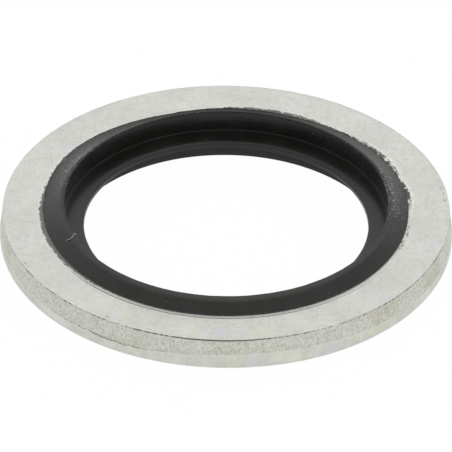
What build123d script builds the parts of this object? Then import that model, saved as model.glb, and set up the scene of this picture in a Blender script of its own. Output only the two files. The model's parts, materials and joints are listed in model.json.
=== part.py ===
from build123d import *
from math import asin, degrees
import os

# A self-centring bonded sealing washer for an M18 x 1.5 thread: a zinc-plated steel ring, blanked from
# strip, with a rubber seal moulded and bonded in its bore. Lips on the seal stand proud of both faces, and
# a thin web at mid-thickness reaches in to the thread's root, which centres the washer on the bolt.
# Millimetres. Z is the washer's axis. The origin is on it, in the plane that the lower lip stands on.

# Thread that the washer goes over
thread_diameter = 18.0

# Rubber seal
web_grip = 0.82  # how far the web reaches in past the thread's crests
web_thickness = 0.40
web_edge_radius = 0.10
lip_clearance = 0.40  # between the thread's crests and the lips' inner wall, at the web
lip_lean = 0.13  # how far the crest overhangs the foot of that wall
lip_height = 0.52  # crest above the steel's face
lip_base_width = 0.90  # rubber between the lips' inner wall and the steel's bore
crest_width = 0.12
rubber_on_roll = 0.13  # width of the steel's rolled upper edge that the rubber covers

# Steel ring
ring_thickness = 2.0
ring_face_width = 2.10  # flat part of the upper face
bore_roll_width = 0.45  # upper bore edge, dragged down by the piercing punch
bore_roll_depth = 0.135
outer_roll_radius = 0.38  # lower outer edge, drawn over the blanking die
torn_height = 0.82  # rough upper part of the outer edge, where the blank tore free
torn_taper = 0.15  # how far it falls back from the smooth land below it, at the upper face

# The rounding of the web's edge takes no more than this share of its thickness
rounding_share = 0.45

# Radii, from the thread outwards
thread_radius = thread_diameter / 2
web_bore_radius = thread_radius - web_grip
lip_wall_radius = thread_radius + lip_clearance
crest_inner_radius = lip_wall_radius - lip_lean
crest_outer_radius = crest_inner_radius + crest_width
ring_bore_radius = lip_wall_radius + lip_base_width
rubber_foot_radius = ring_bore_radius + rubber_on_roll
ring_face_inner_radius = ring_bore_radius + bore_roll_width
ring_face_outer_radius = ring_face_inner_radius + ring_face_width
land_radius = ring_face_outer_radius + torn_taper

# Levels, from the lower lip's crest upwards
lower_crest_level = 0.0
lower_face_level = lower_crest_level + lip_height
upper_face_level = lower_face_level + ring_thickness
upper_crest_level = upper_face_level + lip_height
middle_level = (lower_crest_level + upper_crest_level) / 2
web_lower_level = middle_level - web_thickness / 2
web_upper_level = middle_level + web_thickness / 2
land_upper_level = upper_face_level - torn_height

# The rolled bore edge is an arc that leaves the flat face smoothly and ends at the bore's wall. The rubber
# covers the last part of it, from the rubber's foot to the wall
face_end_angle = 90
roll_radius = (bore_roll_width**2 + bore_roll_depth**2) / (2 * bore_roll_depth)
roll_centre = (ring_face_inner_radius, upper_face_level - roll_radius)
roll_angle = degrees(asin(bore_roll_width / roll_radius))
bare_angle = degrees(asin((ring_face_inner_radius - rubber_foot_radius) / roll_radius))

with BuildPart() as steel_ring:
    with BuildSketch(Plane.XZ):
        with BuildLine():
            bore_roll = CenterArc(roll_centre, roll_radius, face_end_angle, roll_angle)
            bore = Line(bore_roll @ 1, (ring_bore_radius, lower_face_level))
            lower_face = Line(bore @ 1, (land_radius - outer_roll_radius, lower_face_level))
            outer_roll = TangentArc(
                lower_face @ 1, (land_radius, lower_face_level + outer_roll_radius), tangent=lower_face % 1
            )
            land = Line(outer_roll @ 1, (land_radius, land_upper_level))
            torn_edge = Line(land @ 1, (ring_face_outer_radius, upper_face_level))
            Line(torn_edge @ 1, bore_roll @ 0)
        make_face()
    revolve(axis=Axis.Z)

with BuildPart() as rubber_seal:
    with BuildSketch(Plane.XZ) as seal_section:
        with BuildLine():
            covered_roll = CenterArc(
                roll_centre, roll_radius, face_end_angle + bare_angle, roll_angle - bare_angle
            )
            Polyline(
                covered_roll @ 1,
                (ring_bore_radius, lower_face_level),
                (crest_outer_radius, lower_crest_level),
                (crest_inner_radius, lower_crest_level),
                (lip_wall_radius, web_lower_level),
                (web_bore_radius, web_lower_level),
                (web_bore_radius, web_upper_level),
                (lip_wall_radius, web_upper_level),
                (crest_inner_radius, upper_crest_level),
                (crest_outer_radius, upper_crest_level),
                covered_roll @ 0,
            )
        make_face()
        web_edge_corners = seal_section.vertices().group_by(Axis.X)[0]
        fillet(web_edge_corners, radius=min(web_edge_radius, rounding_share * web_thickness))
    revolve(axis=Axis.Z)

os.makedirs("parts", exist_ok=True)

steel_ring.part.label = "steel_ring"
export_step(steel_ring.part, "parts/steel_ring.step")

rubber_seal.part.label = "rubber_seal"
export_step(rubber_seal.part, "parts/rubber_seal.step")
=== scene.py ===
import json
import math

import bpy
import numpy as np
from mathutils import Matrix, Vector, noise


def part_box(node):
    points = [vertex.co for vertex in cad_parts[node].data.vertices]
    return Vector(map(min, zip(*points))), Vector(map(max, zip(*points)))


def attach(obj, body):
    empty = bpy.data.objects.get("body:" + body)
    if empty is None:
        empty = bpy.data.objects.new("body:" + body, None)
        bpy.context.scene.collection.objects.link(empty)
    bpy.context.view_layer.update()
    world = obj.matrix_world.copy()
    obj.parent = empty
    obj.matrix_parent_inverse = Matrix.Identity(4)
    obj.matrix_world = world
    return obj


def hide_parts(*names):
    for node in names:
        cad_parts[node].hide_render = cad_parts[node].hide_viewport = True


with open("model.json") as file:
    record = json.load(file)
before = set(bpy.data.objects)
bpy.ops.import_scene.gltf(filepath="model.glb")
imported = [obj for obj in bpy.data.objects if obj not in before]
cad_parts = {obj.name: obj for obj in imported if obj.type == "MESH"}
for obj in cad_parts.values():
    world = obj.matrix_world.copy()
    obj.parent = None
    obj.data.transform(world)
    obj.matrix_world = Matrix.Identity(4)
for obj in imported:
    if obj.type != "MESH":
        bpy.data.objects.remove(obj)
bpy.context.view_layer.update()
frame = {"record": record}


# --- Steel ring -------------------------------------------------------------------------------------------
# A flat ring of 2 mm strip, pierced and blanked in a press and then zinc plated. The piercing punch drew the
# bore's upper edge down into a roll. Round the outside the die sheared a smooth land, the rest tore free
# rough, and a thin burr was left standing along the top. The moulding left a film of rubber on the roll.

mm = 0.001
steel_low, steel_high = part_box("steel_ring")
seal_low, seal_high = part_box("rubber_seal")

land_radius = steel_high.x
upper_face = steel_high.z
lower_face = steel_low.z
rubber_foot_radius = seal_high.x

rubber_on_roll = 0.13 * mm
ring_bore_radius = rubber_foot_radius - rubber_on_roll
bore_roll_width = 0.45 * mm
bore_roll_depth = 0.135 * mm
bore_roll_radius = (bore_roll_width**2 + bore_roll_depth**2) / (2 * bore_roll_depth)
face_inner_radius = ring_bore_radius + bore_roll_width
torn_taper = 0.15 * mm
face_outer_radius = land_radius - torn_taper
outer_roll_radius = 0.38 * mm
land_foot = lower_face + outer_roll_radius

turn_count = 1400
turns = np.arange(turn_count) * 2 * math.pi / turn_count


def degrees_from(centre):
    """How far each step round the axis is from this angle. Zero is the near side, 90 the right."""
    return (np.degrees(turns) - centre + 180) % 360 - 180


def swell(centre, half_width):
    """A smooth rise to 1 at this angle round the axis, which dies away past the half width."""
    return np.exp(-((degrees_from(centre) / half_width) ** 2))


def grain(points, lump, seed):
    """Smooth noise between about -1 and 1 at each point, in lumps of this size."""
    shift = Vector((7.1 * seed, 3.7 * seed, 5.3 * seed))
    return np.array([noise.noise(Vector(point) / lump + shift) for point in points])


def circle(radius, height):
    """A circle of points round the axis. Each size is one number, or one for each step round."""
    return np.stack([radius * np.sin(turns), -radius * np.cos(turns), height + 0 * turns], axis=1)


class Turned:
    """A turned skin: rows of a section, each a circle of points, with marks for the material."""

    def __init__(self, *marks):
        self.radii = []
        self.heights = []
        self.marks = {mark: [] for mark in marks}

    def row(self, radius, height, **marks):
        """Add the next circle of the section. Each value is one number, or one for each step round."""
        self.radii.append(radius + 0 * turns)
        self.heights.append(height + 0 * turns)
        for mark, values in self.marks.items():
            values.append(marks.get(mark, 0) + 0 * turns)

    def piece(self, name):
        """Join every row to the next and the last to the first, and put the piece in the scene."""
        count = len(self.radii)
        points = np.concatenate([circle(r, z) for r, z in zip(self.radii, self.heights)])
        row, turn = np.meshgrid(np.arange(count), np.arange(turn_count), indexing="ij")
        next_row = (row + 1) % count
        next_turn = (turn + 1) % turn_count
        corners = [
            row * turn_count + turn,
            row * turn_count + next_turn,
            next_row * turn_count + next_turn,
            next_row * turn_count + turn,
        ]
        # A section drawn clockwise has each face's corners turned round, so that the face looks outwards
        radii = np.array([radius.mean() for radius in self.radii])
        heights = np.array([height.mean() for height in self.heights])
        section_area = np.sum(radii * np.roll(heights, -1) - np.roll(radii, -1) * heights) / 2
        if section_area < 0:
            corners.reverse()
        quads = np.stack(corners, axis=2).reshape(-1, 4)
        skin = bpy.data.meshes.new(name)
        skin.from_pydata(points.tolist(), [], quads.tolist())
        skin.polygons.foreach_set("use_smooth", [True] * len(quads))
        for mark, values in self.marks.items():
            layer = skin.attributes.new(mark, "FLOAT", "POINT")
            layer.data.foreach_set("value", np.concatenate(values))
        skin.update()
        made = bpy.data.objects.new(name, skin)
        bpy.context.scene.collection.objects.link(made)
        return made


ring = Turned("torn", "land", "creep", "smear", "lumpy", "fold")

# Beyond the seal's own edge the roll is smeared with rubber: evenly on the left, in dark lumps with a painted
# highlight on the metal beside them on the right, and not at all on the near side.
smears = [
    # middle and half width in degrees, reach past the seal's foot in millimetres, cover
    (280, 46, 0.32, 0.92),
    (74, 15, 0.27, 0.36),
    (100, 13, 0.30, 0.60),
    (122, 20, 0.38, 0.52),
    (165, 26, 0.28, 0.64),
    (240, 24, 0.34, 0.68),
]
film_reach = 0 * turns
film_cover = 0 * turns
for middle, half_width, reach, cover in smears:
    film_reach = np.maximum(film_reach, reach * swell(middle, half_width))
    film_cover = np.maximum(film_cover, cover * swell(middle, half_width))
lumpy = 0.30 + 0.70 * swell(104, 32)

# The bore's wall, under the rubber
wall_steps = 2
for step in range(wall_steps):
    share = step / wall_steps
    ring.row(ring_bore_radius, lower_face + share * (upper_face - bore_roll_depth - lower_face))

# The rolled edge of the bore
bore_roll_steps = 9
bore_roll_angle = math.asin(bore_roll_width / bore_roll_radius)
for step in range(bore_roll_steps):
    tilt = bore_roll_angle * (1 - step / bore_roll_steps)
    ring.row(
        face_inner_radius - bore_roll_radius * math.sin(tilt),
        upper_face - bore_roll_radius * (1 - math.cos(tilt)),
        creep=film_reach,
        smear=film_cover,
        lumpy=lumpy,
    )

# The flat upper face, which starts in a faint line of painted shade where the roll ends and rises slightly to
# the burr
face_steps = 22
burr_width = 0.11 * mm
usual_burr = 0.016 * mm
burr_height = usual_burr * (1 + 0.9 * grain(circle(land_radius, 0), 0.3 * mm, 1))
# Painted shade along the roll's edge, strongest on the near side
face_fold = np.minimum(0.25 + 0.75 * swell(0, 45) + 0.4 * swell(316, 16), 1)
face_rows = []
for step in range(face_steps):
    share = step / face_steps
    face_rows.append(len(ring.radii))
    ring.row(
        face_inner_radius + share * (face_outer_radius - burr_width - face_inner_radius),
        upper_face,
        creep=film_reach,
        smear=film_cover,
        lumpy=lumpy,
        fold=face_fold if step == 0 else 0,
    )
ring.row(face_outer_radius - 0.4 * burr_width, upper_face + 0.6 * burr_height)
ring.row(face_outer_radius, upper_face + burr_height, torn=0.3)

# The burr hangs over a broken fold, deepest on the near side, with painted shade in it that is darkest where
# the fold is deepest
fold_breaks = 0.75 + 0.6 * grain(circle(land_radius, 0), 0.7 * mm, 2)
fold_breaks += 0.9 * grain(circle(land_radius, 0), 0.15 * mm, 8)
fold_breaks = np.maximum(fold_breaks + 0.35 * swell(62, 30), 0.9 * swell(-1, 14))
usual_fold = 0.026 * mm
dark_fold = 0.024 * mm
fold_depth = np.maximum(usual_fold * (0.60 + swell(-3, 18)) * fold_breaks, 0)
fold_dirt = np.clip(fold_depth / dark_fold, 0, 1)
fold_waver = 0.4 + 0.9 * grain(circle(land_radius, 0), 0.33 * mm, 9)
fold_height = (0.058 + 0.040 * swell(-3, 10) + 0.022 * fold_waver * (1 - 0.8 * swell(-3, 16))) * mm
fold_foot = upper_face - fold_height
ring.row(face_outer_radius - fold_depth, upper_face - 0.5 * fold_height, torn=1, fold=fold_dirt)
ring.row(face_outer_radius - 0.6 * fold_depth, fold_foot, torn=1, fold=0.7 * fold_dirt)

# The torn part, down to the wavy line where the die's shear ended, with its grain in lumps of two sizes
torn_waves = 0.05 * grain(circle(land_radius, 0), 2.0 * mm, 3)
torn_waves += 0.03 * grain(circle(land_radius, 0), 0.4 * mm, 4)
torn_height = (1.14 - 0.25 * swell(8, 26) + 0.12 * swell(-24, 7) + torn_waves) * mm
torn_height += 0.05 * mm * swell(-30, 20) * grain(circle(land_radius, 0), 0.28 * mm, 21)
torn_foot = upper_face - torn_height
torn_relief = 0.026 * mm
torn_recess = 0.012 * mm
torn_steps = 15
for step in range(1, torn_steps + 1):
    share = step / torn_steps
    radius = face_outer_radius + share * (torn_taper - torn_recess)
    height = fold_foot + share * (torn_foot - fold_foot)
    lumps = 0.5 * grain(circle(radius, 0.6 * height), 0.45 * mm, 6)
    lumps += 0.6 * grain(circle(radius, 0.6 * height), 0.17 * mm, 7)
    ring.row(radius - torn_relief * (0.5 + lumps), height, torn=1)

# A crack follows that line on the near left, with painted shade along it
crack = 0.6 * grain(circle(land_radius, 0), 0.9 * mm, 5)
crack = crack + 0.9 * grain(circle(land_radius, 0), 0.22 * mm, 10)
crack = swell(-30, 17) * np.clip(0.75 + crack, 0, 1.2)
crack_depth = 0.06 * mm * crack
crack_drop = 0.022 * mm
land_drop = 0.05 * mm
land_head = torn_foot - land_drop
ring.row(land_radius - torn_recess - crack_depth, torn_foot - crack_drop, torn=0.8, fold=crack)
ring.row(land_radius - 0.1 * crack_depth, land_head, land=0.7, fold=0.4 * crack)

# The sheared land, smooth and upright
land_steps = 5
for step in range(1, land_steps + 1):
    share = step / land_steps
    ring.row(land_radius, land_head + share * (land_foot - land_head), land=1)

# The lower edge, drawn round over the die, and the lower face
edge_steps = 7
for step in range(1, edge_steps + 1):
    turn = 0.5 * math.pi * step / edge_steps
    ring.row(
        land_radius - outer_roll_radius * (1 - math.cos(turn)),
        land_foot - outer_roll_radius * math.sin(turn),
        land=max(0, 1 - 2 * step / edge_steps),
    )
under_steps = 4
under_radius = land_radius - outer_roll_radius
for step in range(1, under_steps):
    ring.row(under_radius + step / under_steps * (ring_bore_radius - under_radius), lower_face)

# Dents and nicks of handling on the upper face, with painted shade in them that is darker where they are
# deeper
dents = [
    # angle, then radius, width and depth in millimetres
    (95.5, 12.66, 0.16, 0.020),
    (98.5, 12.70, 0.13, 0.022),
    (101.0, 12.60, 0.12, 0.018),
    (91.0, 12.74, 0.10, 0.016),
    (295.9, 12.70, 0.15, 0.022),
    (297.5, 12.66, 0.10, 0.016),
    (328.2, 12.62, 0.22, 0.016),
    (6.6, 10.98, 0.12, 0.012),
    (325.6, 11.17, 0.16, 0.008),
    (308.8, 10.99, 0.15, 0.008),
    (40.0, 12.20, 0.10, 0.010),
    (232.0, 11.90, 0.12, 0.012),
    (150.0, 12.40, 0.12, 0.012),
]
dent_shade_per_mm = 30
for angle, radius, width, depth in dents:
    for row in face_rows:
        round_way = np.radians(degrees_from(angle)) * radius * mm
        away = np.hypot(ring.radii[row] - radius * mm, round_way) / (width * mm)
        hollow = depth * np.exp(-(away**2))
        ring.heights[row] = ring.heights[row] - hollow * mm
        # The dent's painted shade, by its depth
        ring.marks["fold"][row] = ring.marks["fold"][row] + dent_shade_per_mm * hollow

ring_piece = ring.piece("pressed_ring")


class Shade:
    """A node's output. Sums written on it in Python become Math nodes of its material."""

    def __init__(self, tree, socket=None):
        self.tree = tree
        self.socket = socket

    def fill(self, made, sockets):
        """Give a node's sockets their values or links."""
        for name, value in sockets.items():
            if isinstance(value, Shade):
                self.tree.links.new(value.socket, made.inputs[name])
            else:
                made.inputs[name].default_value = value

    def node(self, kind, settings, sockets, output=0):
        """Add a node: its settings are set first, then each socket's value or link."""
        made = self.tree.nodes.new("ShaderNode" + kind)
        for name, value in settings.items():
            setattr(made, name, value)
        self.fill(made, sockets)
        return Shade(self.tree, made.outputs[output])

    def sum(self, operation, first, second):
        return self.node("Math", {"operation": operation}, {0: first, 1: second})

    def __add__(self, other):
        return self.sum("ADD", self, other)

    def __radd__(self, other):
        return self.sum("ADD", other, self)

    def __sub__(self, other):
        return self.sum("SUBTRACT", self, other)

    def __rsub__(self, other):
        return self.sum("SUBTRACT", other, self)

    def __mul__(self, other):
        return self.sum("MULTIPLY", self, other)

    def __rmul__(self, other):
        return self.sum("MULTIPLY", other, self)

    def rise(self, low, high):
        """0 below low, 1 above high, and smooth between them."""
        sockets = {"Value": self, "From Min": low, "From Max": high}
        return self.node("MapRange", {"interpolation_type": "SMOOTHSTEP"}, sockets)

    def mix(self, first, second):
        """The first colour where this is 0, and the second where it is 1."""
        return self.node("Mix", {"data_type": "RGBA"}, {0: self, 6: first, 7: second}, output=2)

    def mark(self, name):
        """What the mesh was given under this name."""
        return self.node("Attribute", {"attribute_name": name}, {}, output="Fac")

    def stretched(self, x, y, z):
        """A place with each axis scaled."""
        return self.node("VectorMath", {"operation": "MULTIPLY"}, {0: self, 1: (x, y, z)})

    def speckle(self, scale, detail=2.0, roughness=0.5):
        """Noise from 0 to 1 over a place, with this many lumps to the millimetre."""
        sockets = {"Vector": self, "Scale": scale, "Detail": detail, "Roughness": roughness}
        return self.node("TexNoise", {}, sockets)

    def relief(self, height):
        """A normal that gives a surface this relief, in which 1 stands for a thousandth of a millimetre."""
        return self.node("Bump", {}, {"Strength": 1.0, "Distance": 0.001 * mm, "Height": height})


def start_material(name):
    """A new material, with the place on its surface in millimetres."""
    made = bpy.data.materials.new(name)
    made.use_nodes = True
    place = Shade(made.node_tree).node("TexCoord", {}, {}, output="Object")
    return made, place.stretched(1 / mm, 1 / mm, 1 / mm)


zinc, place = start_material("zinc_plated_steel")
from_axis = place.stretched(1, 1, 0)
radius_here = from_axis.node("VectorMath", {"operation": "LENGTH"}, {0: from_axis}, output="Value")
torn = place.mark("torn")
land = place.mark("land")
# How much painted shade the folds, the crack and the dents get
fold = place.mark("fold").rise(0.15, 0.85)

# Satin zinc: a faint green-grey, finely mottled, with bluish and straw-coloured clouds in its passivation
clouds = place.speckle(0.35, 3.0)
fine_clouds = place.speckle(2.6, 4.0, 0.7)
zinc_pores = place.speckle(8.5, 3.0, 0.68)
tint = place.speckle(0.55, 1.0)
rubs = place.stretched(2.5, 0.25, 1).speckle(2.0, 3.0, 0.6)
cross_rubs = place.stretched(0.4, 2.2, 1).speckle(2.4, 3.0, 0.6)
zinc_colour = clouds.rise(0.30, 0.70).mix((0.680, 0.692, 0.650, 1), (0.745, 0.752, 0.712, 1))
zinc_colour = (fine_clouds.rise(0.42, 0.72) * 0.55).mix(zinc_colour, (0.585, 0.595, 0.550, 1))
zinc_colour = (rubs.rise(0.56, 0.70) * 0.35).mix(zinc_colour, (0.560, 0.560, 0.520, 1))
zinc_colour = (cross_rubs.rise(0.56, 0.70) * 0.35).mix(zinc_colour, (0.830, 0.835, 0.800, 1))
zinc_colour = (zinc_pores.rise(0.57, 0.70) * 0.50).mix(zinc_colour, (0.42, 0.42, 0.38, 1))
zinc_colour = (tint.rise(0.64, 0.76) * 0.4).mix(zinc_colour, (0.66, 0.67, 0.76, 1))
zinc_colour = ((1 - tint).rise(0.62, 0.74) * 0.45).mix(zinc_colour, (0.72, 0.73, 0.58, 1))

# Torn steel: olive-grey, darker in its pits
torn_grain = place.stretched(1, 1, 0.8).speckle(8.0, 4.0, 0.7)
torn_patches = place.speckle(0.5, 2.0)
torn_colour = torn_patches.rise(0.45, 0.75).mix((0.645, 0.655, 0.605, 1), (0.575, 0.565, 0.485, 1))
torn_colour = ((1 - torn_grain).rise(0.46, 0.66) * 0.6).mix(torn_colour, (0.36, 0.36, 0.31, 1))
torn_colour = (torn_grain.rise(0.56, 0.68) * 0.40).mix(torn_colour, (0.85, 0.85, 0.81, 1))
zinc_colour = torn.rise(0.2, 0.8).mix(zinc_colour, torn_colour)

# Sheared land: smoother, faintly tinted, with the die's drag lines up and down it
drag_lines = place.stretched(1, 1, 0.12).speckle(3.5, 3.0, 0.6)
land_colour = drag_lines.rise(0.30, 0.75).mix((0.650, 0.655, 0.605, 1), (0.600, 0.600, 0.545, 1))
land_colour = (tint.rise(0.50, 0.70) * 0.5).mix(land_colour, (0.63, 0.63, 0.67, 1))
land_colour = ((1 - tint).rise(0.50, 0.70) * 0.5).mix(land_colour, (0.68, 0.68, 0.56, 1))
land_colour = (fine_clouds.rise(0.42, 0.68) * 0.45).mix(land_colour, (0.52, 0.52, 0.47, 1))
land_colour = ((1 - clouds).rise(0.50, 0.62) * 0.35).mix(land_colour, (0.80, 0.80, 0.77, 1))
zinc_colour = land.rise(0.2, 0.8).mix(zinc_colour, land_colour)

# Painted shade in the folds, along the crack and in the dents
zinc_colour = (fold * 0.85).mix(zinc_colour, (0.05, 0.048, 0.04, 1))

# Rubber smeared on the roll: ragged at its outer edge, and broken where it is thin. Radii in millimetres
film_ragged = place.speckle(4.5, 3.0, 0.7)
film_breaks = place.speckle(3.0, 3.0, 0.7)
film_edge = place.mark("creep") + rubber_foot_radius / mm + (film_ragged - 0.5) * 0.50
# A painted highlight, near white, on the bare roll just past the film's ragged edge, mostly on the right
roll_highlight_width = 0.12
painted_roll_highlight = (film_edge + roll_highlight_width - radius_here).rise(-0.02, 0.03) * film_ragged.rise(0.44, 0.54)
painted_roll_highlight = painted_roll_highlight * (place.mark("smear") * 1.6).rise(0, 1) * place.mark("lumpy")
zinc_colour = painted_roll_highlight.mix(zinc_colour, (0.93, 0.93, 0.90, 1))
film = (film_edge - radius_here).rise(-0.02, 0.03)
film = film * (place.mark("smear") + (film_breaks - 0.5) * 1.3).rise(0.25, 0.60)
film_colour = place.mark("lumpy").rise(0.35, 0.90).mix((0.115, 0.115, 0.11, 1), (0.035, 0.035, 0.033, 1))
zinc_colour = (film * 0.95).mix(zinc_colour, film_colour)

# The relief is in thousandths of a millimetre
scratches = place.stretched(1, 0.12, 1).speckle(9.0, 2.0).rise(0.62, 0.75)
zinc_relief = fine_clouds * 3.0 + zinc_pores * 1.5 + torn * torn_grain * 14
zinc_relief = zinc_relief + land * drag_lines * 2 + scratches
zinc_finish = {
    "Base Color": zinc_colour,
    "Metallic": 1 - film * 0.9,
    "Roughness": fine_clouds * 0.16 + torn * 0.16 + film * 0.1 + 0.38,
    "Normal": place.relief(zinc_relief),
}
place.fill(zinc.node_tree.nodes["Principled BSDF"], zinc_finish)

ring_piece.data.materials.append(zinc)
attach(ring_piece, "root")
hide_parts("steel_ring")


# --- Rubber seal ------------------------------------------------------------------------------------------
# Black nitrile rubber, moulded in the ring's bore and bonded to it. A pointed lip stands proud of each face
# and is pressed flat by the bolt's head, and the thin web between them grips the thread and centres the ring.

web_bore_radius = frame["record"]["mounts"][0]["dims"]["r_mm"] * mm
lip_base_width = 0.90 * mm
lip_lean = 0.13 * mm
crest_width = 0.12 * mm
web_thickness = 0.40 * mm
web_edge_radius = 0.13 * mm
web_corner_radius = 0.02 * mm
root_radius = 0.02 * mm
web_droop = 0.06 * mm
crest_rounding = 0.09 * mm

lip_wall_radius = ring_bore_radius - lip_base_width
crest_inner_radius = lip_wall_radius - lip_lean
crest_outer_radius = crest_inner_radius + crest_width
upper_crest = seal_high.z
lower_crest = seal_low.z
middle = (upper_crest + lower_crest) / 2
web_top = middle + web_thickness / 2
web_bottom = middle - web_thickness / 2

seal = Turned("crest", "matt", "foot", "flecked")

# Past the lip's foot the rubber runs on over the roll, cleanly on the left and raggedly on the right and far
# sides, and fills the hollow between the roll and the lip. On the near side it stops at the foot.
tongues = [
    # middle and half width in degrees, reach in millimetres, raggedness
    (124, 32, 0.15, 1.0),
    (178, 20, 0.12, 0.9),
    (237, 28, 0.32, 0.35),
    (264, 22, 0.12, 0.3),
]
tongue = 0 * turns
ragged = 0.1 + 0 * turns
for tongue_middle, half_width, reach, raggedness in tongues:
    tongue = np.maximum(tongue, reach * swell(tongue_middle, half_width))
    ragged = np.maximum(ragged, raggedness * swell(tongue_middle, half_width))
tears = grain(circle(rubber_foot_radius, 0), 0.32 * mm, 11)
tears += 0.8 * grain(circle(rubber_foot_radius, 0), 0.13 * mm, 12)


def on_roll(radius):
    """The height of the steel's rolled edge at this radius."""
    return upper_face - bore_roll_radius + np.sqrt(bore_roll_radius**2 - (face_inner_radius - radius) ** 2)


foot_edge = 0.010 * mm
foot_bedding = 0.002 * mm
foot_thickness = 0.012 * mm
bare_roll = 0.004 * mm
flank_foot = rubber_foot_radius + (0.75 * tongue - 0.02) * mm
torn_tip = flank_foot + (0.02 + 0.25 * tongue + 0.10 * ragged * np.maximum(tears, 0)) * mm
torn_tip = np.minimum(torn_tip, face_inner_radius - bare_roll)
seal.row(torn_tip, on_roll(torn_tip) - foot_bedding, foot=ragged)
seal.row(torn_tip - 0.6 * foot_edge, on_roll(torn_tip) + foot_edge, foot=ragged)

# Flecks of torn flash lie thickest on the right and left. The crest is worn grey except on the far side
flecked = 0.10 + 0.90 * np.maximum(swell(98, 20), 0.85 * swell(248, 24)) + 0.4 * swell(180, 60)
worn = 1 - swell(180, 85)
worn_width = (0.10 + 0.14 * swell(0, 50)) * mm
crest_matt = 0.7 + 0.3 * swell(180, 60)

# The crest is sharper on the far side, and bulges a little in two places
crest_flat = (crest_width - 0.03 * mm) * (1 - 0.80 * swell(180, 62))
crest_roll = crest_rounding * (1 - 0.65 * swell(180, 62))
crest_bulge = (0.08 * swell(247, 18) + 0.05 * swell(113, 14)) * mm
upper_crest_radius = crest_outer_radius + crest_bulge

# The upper lip's outer flank, hollow where the rubber ran, which rounds over into the crest
flank_head = upper_crest_radius + crest_roll
crest_slope = (upper_crest - on_roll(rubber_foot_radius)) / (crest_outer_radius - rubber_foot_radius)
flank_foot_height = on_roll(flank_foot) + foot_thickness
flank_head_height = upper_crest + crest_slope * crest_roll
hollow_depth = 0.16 * mm
flank_steps = 12
for step in range(flank_steps + 1):
    share = step / flank_steps
    flank_radius = flank_foot + share * (flank_head - flank_foot)
    flank_height = flank_foot_height + share * (flank_head_height - flank_foot_height)
    hollow = hollow_depth * tongue * 4 * share * (1 - share)
    uneven = 0.006 * mm * grain(circle(flank_radius, flank_height), 1.1 * mm, 19)
    uneven = uneven * math.sin(math.pi * share)
    worn_flank = np.clip((flank_head + worn_width - flank_radius) / worn_width, 0, 1)
    seal.row(
        flank_radius,
        flank_height - hollow + uneven,
        crest=worn_flank * worn,
        matt=np.maximum(0.6 * worn_flank, swell(180, 42)),
        foot=ragged * max(0, 1 - step),
        flecked=flecked * min(1, share + 0.3),
    )

# Its crest, with small breaks where flash was torn off, and the sharp inner edge below it
breaks = 0.010 * mm * grain(circle(crest_outer_radius, 0), 0.22 * mm, 13)
breaks += 0.008 * mm * grain(circle(crest_outer_radius, 0), 0.8 * mm, 14) - 0.010 * mm
rounding_steps = 4
for step in range(1, rounding_steps + 1):
    share = step / rounding_steps
    inward = (1 - share) ** 2 * crest_roll - share**2 * crest_flat
    rise = (1 - share) ** 2 * crest_roll * crest_slope
    crest_height = upper_crest + rise + share * breaks
    seal.row(upper_crest_radius + inward, crest_height, crest=worn, matt=crest_matt, flecked=flecked)
inner_edge_width = 0.025 * mm
inner_edge_drop = 0.014 * mm
overhang = 0.005 * mm
overhang_drop = 0.045 * mm
wall_head = upper_crest_radius - crest_flat - inner_edge_width
seal.row(wall_head, crest_height - inner_edge_drop, crest=0.7 * worn, matt=crest_matt, flecked=flecked)
seal.row(wall_head - overhang, upper_crest - overhang_drop, matt=0.5)

# The inner wall leans back from the crest to the web. The mould's joint left a faint line under the crest
flash_line = 0.010 * mm * (0.5 + 0.5 * swell(262, 30))
joint_step = 2
lip_wall_steps = 11
for step in range(1, lip_wall_steps):
    share = step / lip_wall_steps
    on_joint = flash_line if step == joint_step else 0
    wall_radius = wall_head + share * (lip_wall_radius - wall_head)
    wall_height = upper_crest + share * (web_top + root_radius - upper_crest)
    uneven = 0.005 * mm * grain(circle(wall_radius, wall_height), 0.9 * mm, 15)
    seal.row(wall_radius - on_joint + uneven, wall_height)

# The root between the wall and the web
root_steps = 2
for step in range(root_steps + 1):
    turn = 0.5 * math.pi * step / root_steps
    seal.row(
        lip_wall_radius - root_radius * (1 - math.cos(turn)),
        web_top + root_radius * (1 - math.sin(turn)),
    )

# The web, which droops a little, and its edge, rounded above and nearly sharp below
web_steps = 5
web_flat_radius = web_bore_radius + web_edge_radius
for step in range(1, web_steps + 1):
    share = step / web_steps
    web_radius = lip_wall_radius - root_radius
    web_radius += share * (web_flat_radius - lip_wall_radius + root_radius)
    uneven = 0.006 * mm * grain(circle(web_radius, 0), 1.3 * mm, 16)
    seal.row(web_radius, web_top - web_droop * share**2 + uneven * (1 - share))
edge_waver = 0.008 * mm * grain(circle(web_bore_radius, 0), 0.9 * mm, 17)
web_edge_steps = 4
for step in range(1, web_edge_steps + 1):
    turn = 0.5 * math.pi * step / web_edge_steps
    seal.row(
        web_flat_radius - web_edge_radius * math.sin(turn) + edge_waver,
        web_top - web_droop - web_edge_radius * (1 - math.cos(turn)),
    )
seal.row(web_bore_radius + edge_waver, middle)
seal.row(web_bore_radius + edge_waver, web_bottom + 1.3 * web_corner_radius)
web_corner_steps = 2
for step in range(web_corner_steps + 1):
    turn = 0.5 * math.pi * (1 - step / web_corner_steps)
    seal.row(
        web_bore_radius + web_corner_radius * (1 - math.sin(turn)) + edge_waver,
        web_bottom + web_corner_radius * (1 - math.cos(turn)),
    )
seal.row(web_bore_radius + 4 * web_corner_radius, web_bottom)
seal.row((web_flat_radius + lip_wall_radius) / 2, web_bottom)

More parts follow.
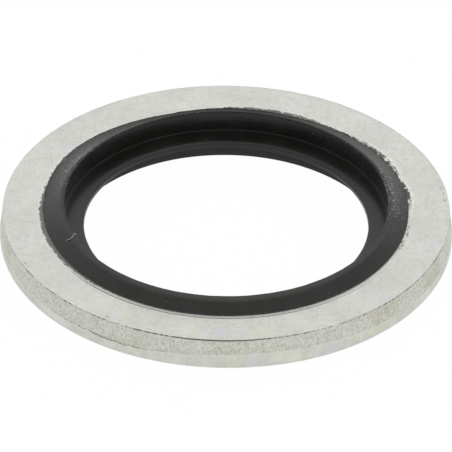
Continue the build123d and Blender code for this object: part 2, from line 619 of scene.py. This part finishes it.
# The lower lip is the upper one turned over, without the roll. Its crest is worn round on the inside
lower_crest_width = 0.045 * mm
lower_crest_height = 0.16 * mm
for step in range(root_steps + 1):
    turn = 0.5 * math.pi * (1 - step / root_steps)
    seal.row(
        lip_wall_radius - root_radius * (1 - math.cos(turn)),
        web_bottom - root_radius * (1 - math.sin(turn)),
    )
# The crest mark grows down the lower lip's inner wall as painted light from the floor below
lower_wall_steps = 5
for step in range(1, lower_wall_steps):
    share = step / lower_wall_steps
    seal.row(
        lip_wall_radius + share * (crest_inner_radius - lip_wall_radius),
        web_bottom - root_radius + share * (lower_crest - web_bottom + root_radius),
        crest=0.9 * share,
        matt=share,
    )
lower_rounding_steps = 4
for step in range(lower_rounding_steps + 1):
    turn = 0.5 * math.pi * step / lower_rounding_steps
    seal.row(
        crest_inner_radius + lower_crest_width * (1 - math.cos(turn)),
        lower_crest + lower_crest_height * (1 - math.sin(turn)),
        crest=1,
        matt=1,
    )
outer_edge_start = 0.022 * mm
outer_edge_end = 0.010 * mm
outer_edge_rise = 0.014 * mm
seal.row(crest_outer_radius - outer_edge_start, lower_crest, crest=1)
seal.row(crest_outer_radius + outer_edge_end, lower_crest + outer_edge_rise, crest=1)
worn_share = 0.15
lower_flank_steps = 6
for step in range(1, lower_flank_steps + 1):
    share = step / lower_flank_steps
    seal.row(
        crest_outer_radius + share * (ring_bore_radius - crest_outer_radius),
        lower_crest + share * (lower_face - lower_crest),
        crest=max(0, worn_share - share) / worn_share,
    )

# The bond to the bore's wall, up to the covered part of the roll
seal.row(ring_bore_radius, upper_face - bore_roll_depth)

seal_piece = seal.piece("moulded_seal")

rubber, place = start_material("nitrile_rubber")
crest = place.mark("crest")
foot = place.mark("foot")
rubber_clouds = place.speckle(0.5, 3.0)
rubber_grain = place.speckle(14.0, 3.0, 0.6)
jet_black = (0.0062, 0.0062, 0.0052, 1)
soft_black = (0.0105, 0.0105, 0.0095, 1)
rubber_colour = rubber_clouds.rise(0.35, 0.7).mix(jet_black, soft_black)

# The crest is matt and greyer, where the seals rub together. The same grey on the lower lip's inner wall,
# growing towards the floor, is painted light from the floor below
rub_marks_and_floor_light = crest * (0.6 + place.speckle(1.2, 3.0) * 0.8)
matt = place.mark("matt") * (0.6 + place.speckle(1.2, 3.0) * 0.8)
rubber_colour = (rub_marks_and_floor_light * 0.5).mix(rubber_colour, (0.080, 0.080, 0.077, 1))

# Dust, flecks of torn flash on the crest, and steel showing through the torn foot
dust = place.speckle(9.0, 2.0, 0.7).rise(0.66, 0.74)
rubber_colour = (dust * (crest * 0.15 + 0.10)).mix(rubber_colour, (0.20, 0.20, 0.19, 1))
crest_flecks = (place.speckle(6.0, 3.0, 0.7) + place.mark("flecked") * 0.16).rise(0.70, 0.76)
rubber_colour = (crest_flecks * 0.65).mix(rubber_colour, (0.27, 0.27, 0.26, 1))
bare_spots = place.speckle(4.5, 3.0, 0.7).rise(0.56, 0.62) * foot
rubber_colour = (bare_spots * 0.8).mix(rubber_colour, (0.52, 0.52, 0.49, 1))
rubber_finish = {
    "Base Color": rubber_colour,
    "Roughness": rubber_clouds * 0.16 + rubber_grain * 0.10 + matt * 0.62 + 0.12,
    "IOR": 1.43,
    "Normal": place.relief(rubber_grain * 2.0 + rubber_clouds * 4.0 + crest * rubber_grain * 3),
}
place.fill(rubber.node_tree.nodes["Principled BSDF"], rubber_finish)

seal_piece.data.materials.append(rubber)
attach(seal_piece, "root")
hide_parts("rubber_seal")


# --- Curl of flash ----------------------------------------------------------------------------------------
# A hair of rubber flash, torn half off the upper crest and curled back over the lip's flank. It is pale with
# the talc that keeps the seals from sticking together in their bag.

curl_angle = math.radians(290.5)
curl_thickness = 0.045 * mm
curl_seat = 0.3 * curl_thickness
crest_edge = 0.06
thickest_place = 0.10
thinning = 0.8
curl_path = [
    # way round the lip, and way out over its flank, in millimetres from the crest
    (0.26, 0.44),
    (0.31, 0.30),
    (0.37, 0.17),
    (0.27, 0.01),
    (0.06, -0.10),
    (0.07, -0.20),
    (0.21, -0.19),
]
curl_line = bpy.data.curves.new("curl", "CURVE")
curl_line.dimensions = "3D"
curl_line.resolution_u = 6
curl_line.bevel_depth = curl_thickness / 2
curl_line.bevel_resolution = 3
curl_line.use_fill_caps = True
strand = curl_line.splines.new("NURBS")
strand.points.add(len(curl_path) - 1)
for point, (round_way, outward) in zip(strand.points, curl_path):
    radius = crest_outer_radius + outward * mm
    angle = curl_angle + round_way * mm / radius
    height = upper_crest + crest_slope * max(outward - crest_edge, 0) * mm + curl_seat
    point.co = (radius * math.sin(angle), -radius * math.cos(angle), height, 1)
    point.radius = 1.0 - thinning * abs(outward - thickest_place)
strand.order_u = 3
strand.use_endpoint_u = True
curl_rough = bpy.data.objects.new("curl_rough", curl_line)
curl_mesh = bpy.data.meshes.new_from_object(curl_rough)
curl_piece = bpy.data.objects.new("curl_of_flash", curl_mesh)
bpy.context.scene.collection.objects.link(curl_piece)
bpy.data.objects.remove(curl_rough)

talc, place = start_material("talced_rubber")
talc_grain = place.speckle(18.0, 2.0, 0.6)
talc_finish = {
    "Base Color": talc_grain.rise(0.3, 0.7).mix((0.20, 0.20, 0.19, 1), (0.50, 0.50, 0.47, 1)),
    "Roughness": 0.75 + talc_grain * 0.1,
    "Normal": place.relief(talc_grain * 2.0),
}
place.fill(talc.node_tree.nodes["Principled BSDF"], talc_finish)

curl_piece.data.materials.append(talc)
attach(curl_piece, "root")


# --- Floor ------------------------------------------------------------------------------------------------
# A sheet of white acrylic, lit from below as on a product table, so that it stays white with hardly a shadow.
# It lies a hair below the lip's crest, because two faces in one plane would fight.

floor_half_width = 600 * mm
floor_height = -0.002 * mm
floor_corners = [(-1, -1), (1, -1), (1, 1), (-1, 1)]
floor_mesh = bpy.data.meshes.new("floor")
floor_points = [(x * floor_half_width, y * floor_half_width, floor_height) for x, y in floor_corners]
floor_mesh.from_pydata(floor_points, [], [(0, 1, 2, 3)])
floor = bpy.data.objects.new("floor", floor_mesh)
bpy.context.scene.collection.objects.link(floor)

share_of_glow = 0.96
acrylic, place = start_material("white_acrylic")
acrylic_lit = acrylic.node_tree.nodes["Principled BSDF"]
acrylic_finish = {
    "Base Color": (0.42, 0.42, 0.42, 1),
    "Roughness": 0.8,
    "Emission Color": (1, 1, 1, 1),
    "Emission Strength": 0.54,
}
place.fill(acrylic_lit, acrylic_finish)
glow = place.node("Emission", {}, {"Color": (1, 1, 1, 1), "Strength": 1.0})
seen = place.node("LightPath", {}, {}, output="Is Camera Ray") * share_of_glow
lit = Shade(acrylic.node_tree, acrylic_lit.outputs[0])
acrylic_surface = place.node("MixShader", {}, {0: seen, 1: lit, 2: glow})
place.fill(acrylic.node_tree.nodes["Material Output"], {"Surface": acrylic_surface})
floor_mesh.materials.append(acrylic)


# --- Light ------------------------------------------------------------------------------------------------
# A white tent of cloth stands all round, brighter at the horizon than overhead. One large soft lamp on the
# right gives the ring's edge and the lip their shading.

tent = bpy.data.worlds.new("tent")
tent.use_nodes = True
bpy.context.scene.world = tent
sky = Shade(tent.node_tree).node("TexCoord", {}, {}, output="Generated")
sky_height = sky.node("SeparateXYZ", {}, {0: sky}, output="Z")
sky_colour = sky_height.rise(0.2, 1.0).mix((1.0, 1.0, 1.0, 1), (0.88, 0.88, 0.87, 1))
sky.fill(tent.node_tree.nodes["Background"], {"Color": sky_colour, "Strength": 1.0})

lamp_data = bpy.data.lights.new("soft_lamp", "AREA")
lamp_data.shape = "DISK"
lamp_data.size = 300 * mm
lamp_data.energy = 0.15  # watts
lamp = bpy.data.objects.new("soft_lamp", lamp_data)
lamp.location = (250 * mm, -150 * mm, 350 * mm)  # right, near and above
lamp.rotation_euler = lamp.location.to_track_quat("Z", "Y").to_euler()
bpy.context.scene.collection.objects.link(lamp)


# --- Camera -----------------------------------------------------------------------------------------------
# A long lens looks down from above the near side, so the far rim is hardly smaller than the near one. Its
# numbers are in pixels of the 452 x 452 frame or in degrees.

frame_width = 452
pixels_per_mm = 17.405
face_centre_pixel = (225.73, 209.42)
view_elevation = math.radians(34.6)
view_roll = math.radians(-0.55)
view_distance = 428.3 * mm

face_centre = Vector((0, 0, upper_face))
forward = Vector((0, math.cos(view_elevation), -math.sin(view_elevation)))
level_right = Vector((1, 0, 0))
level_down = Vector((0, -math.sin(view_elevation), -math.cos(view_elevation)))
right = math.cos(view_roll) * level_right + math.sin(view_roll) * level_down
down = math.cos(view_roll) * level_down - math.sin(view_roll) * level_right

frame_centre_pixel = (frame_width - 1) / 2
aim_right = (frame_centre_pixel - face_centre_pixel[0]) / pixels_per_mm * mm
aim_down = (frame_centre_pixel - face_centre_pixel[1]) / pixels_per_mm * mm
aim = face_centre + aim_right * right + aim_down * down
camera_place = face_centre - view_distance * forward
camera_back = (camera_place - aim).normalized()
camera_right = (-down).cross(camera_back).normalized()
camera_up = camera_back.cross(camera_right)

camera_data = bpy.data.cameras.new("camera")
camera_data.sensor_width = 36
camera_data.lens = pixels_per_mm * view_distance / mm / frame_width * camera_data.sensor_width
camera_data.clip_start = 50 * mm
camera_data.clip_end = 10
camera = bpy.data.objects.new("camera", camera_data)
axes = Matrix((camera_right, camera_up, camera_back)).transposed().to_4x4()
camera.matrix_world = Matrix.Translation(camera_place) @ axes
bpy.context.scene.collection.objects.link(camera)
bpy.context.scene.camera = camera
bpy.context.scene.view_settings.view_transform = "Standard"
